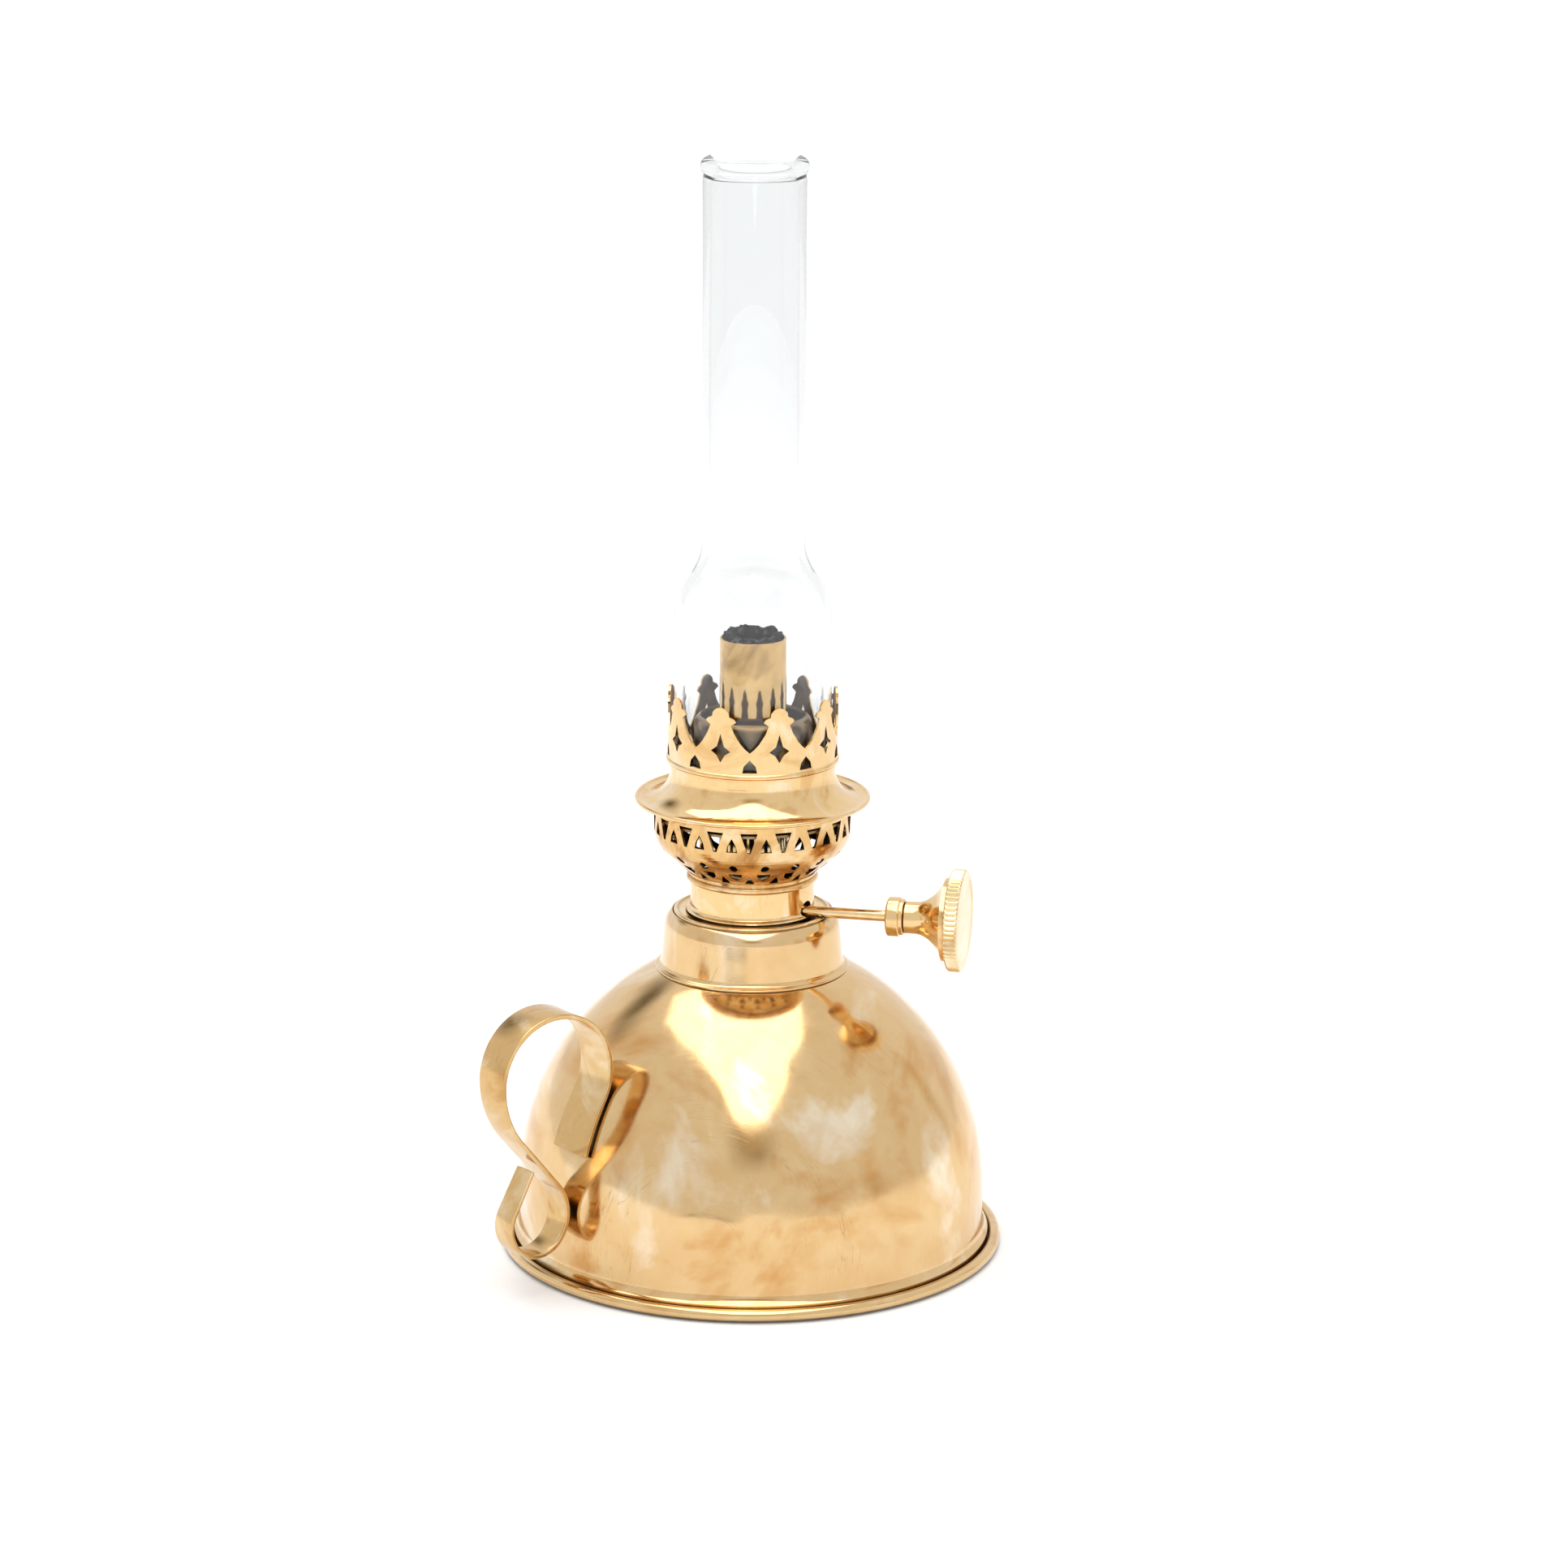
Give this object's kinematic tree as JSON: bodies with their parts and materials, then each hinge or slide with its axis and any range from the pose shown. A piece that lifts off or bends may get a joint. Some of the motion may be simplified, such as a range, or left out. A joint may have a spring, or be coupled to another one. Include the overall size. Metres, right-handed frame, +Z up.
{
  "type": "round-wick oil lamp",
  "caption": "Small brass oil lamp: domed font with strip handle, screw-in round-wick burner with winder, pierced air basket and gallery, and clear glass chimney.",
  "frame": {"origin": "centre of the flat underside, on the surface the lamp stands on", "axes": "+Z up along the lamp's axis, +X along the winder shaft towards the knob"},
  "size_m": [0.1035, 0.1046, 0.225],
  "materials": {
    "lacquered_brass": "polished, softly tarnished",
    "font_brass": "polished, cloudy pink and gold tarnish",
    "dull_brass": "unpolished inner brass",
    "strip_brass": "polished flat strip",
    "solder": "dull soft solder",
    "burner_brass": "polished, spun",
    "basket_brass": "polished, darker tarnish near the foot",
    "tube_brass": "satin, heat stained",
    "knob_brass": "knurled, bright pale face",
    "wick_cotton": "charred woven cotton",
    "chimney_glass": "clear blown glass, fire-polished lip"
  },
  "bodies": {
    "font": {"base_pan": "lacquered_brass", "font_shell": "font_brass", "font_collar": "font_brass", "collar_insert": "dull_brass", "handle_strip": "strip_brass", "handle_solder": "solder"},
    "burner_thread": {"burner_sleeve": "dull_brass", "burner_lip": "burner_brass"},
    "burner": {"burner_floor": "dull_brass", "burner_neck": "burner_brass", "winder_bracket": "dull_brass", "air_basket": "basket_brass", "deflector_ring": "dull_brass", "wick_tube": "tube_brass", "draught_tube": "tube_brass", "air_duct": "dull_brass"},
    "winder": {"winder_shaft": "burner_brass", "wick_wheels": "dull_brass", "knob_ferrule": "burner_brass", "knob_hub": "burner_brass", "knob_disc": "knob_brass"},
    "wick": {"wick": "wick_cotton"},
    "gallery": {"gallery_flange": "burner_brass", "gallery_crown": "burner_brass"},
    "chimney": {"glass_chimney": "chimney_glass"}
  },
  "joints": [
    {"name": "burner_rise", "type": "slide", "parent": "font", "child": "burner_thread", "axis": [0, 0, 1], "range_m": [0, 0.0045]},
    {"name": "burner_turn", "type": "hinge", "parent": "burner_thread", "child": "burner", "pos_m": [0, 0, 0.07], "axis": [0, 0, 1], "range_deg": [0, 900]},
    {"name": "wick_turn", "type": "hinge", "parent": "burner", "child": "winder", "pos_m": [0, -0.0036, 0.07205], "axis": [1, 0, 0], "range_deg": [-143.3, 191]},
    {"name": "wick_rise", "type": "slide", "parent": "burner", "child": "wick", "axis": [0, 0, 1], "range_m": [-0.006, 0.008]},
    {"name": "gallery_lift", "type": "slide", "parent": "burner", "child": "gallery", "axis": [0, 0, 1], "range_m": [0, 0.05]},
    {"name": "chimney_lift", "type": "slide", "parent": "gallery", "child": "chimney", "axis": [0, 0, 1], "range_m": [0, 0.045]}
  ],
  "couplings": [
    {"joint": "burner_turn", "follows": "burner_rise", "rad_per_m": 3490.6},
    {"joint": "wick_turn", "follows": "wick_rise", "rad_per_m": 416.66}
  ]
}
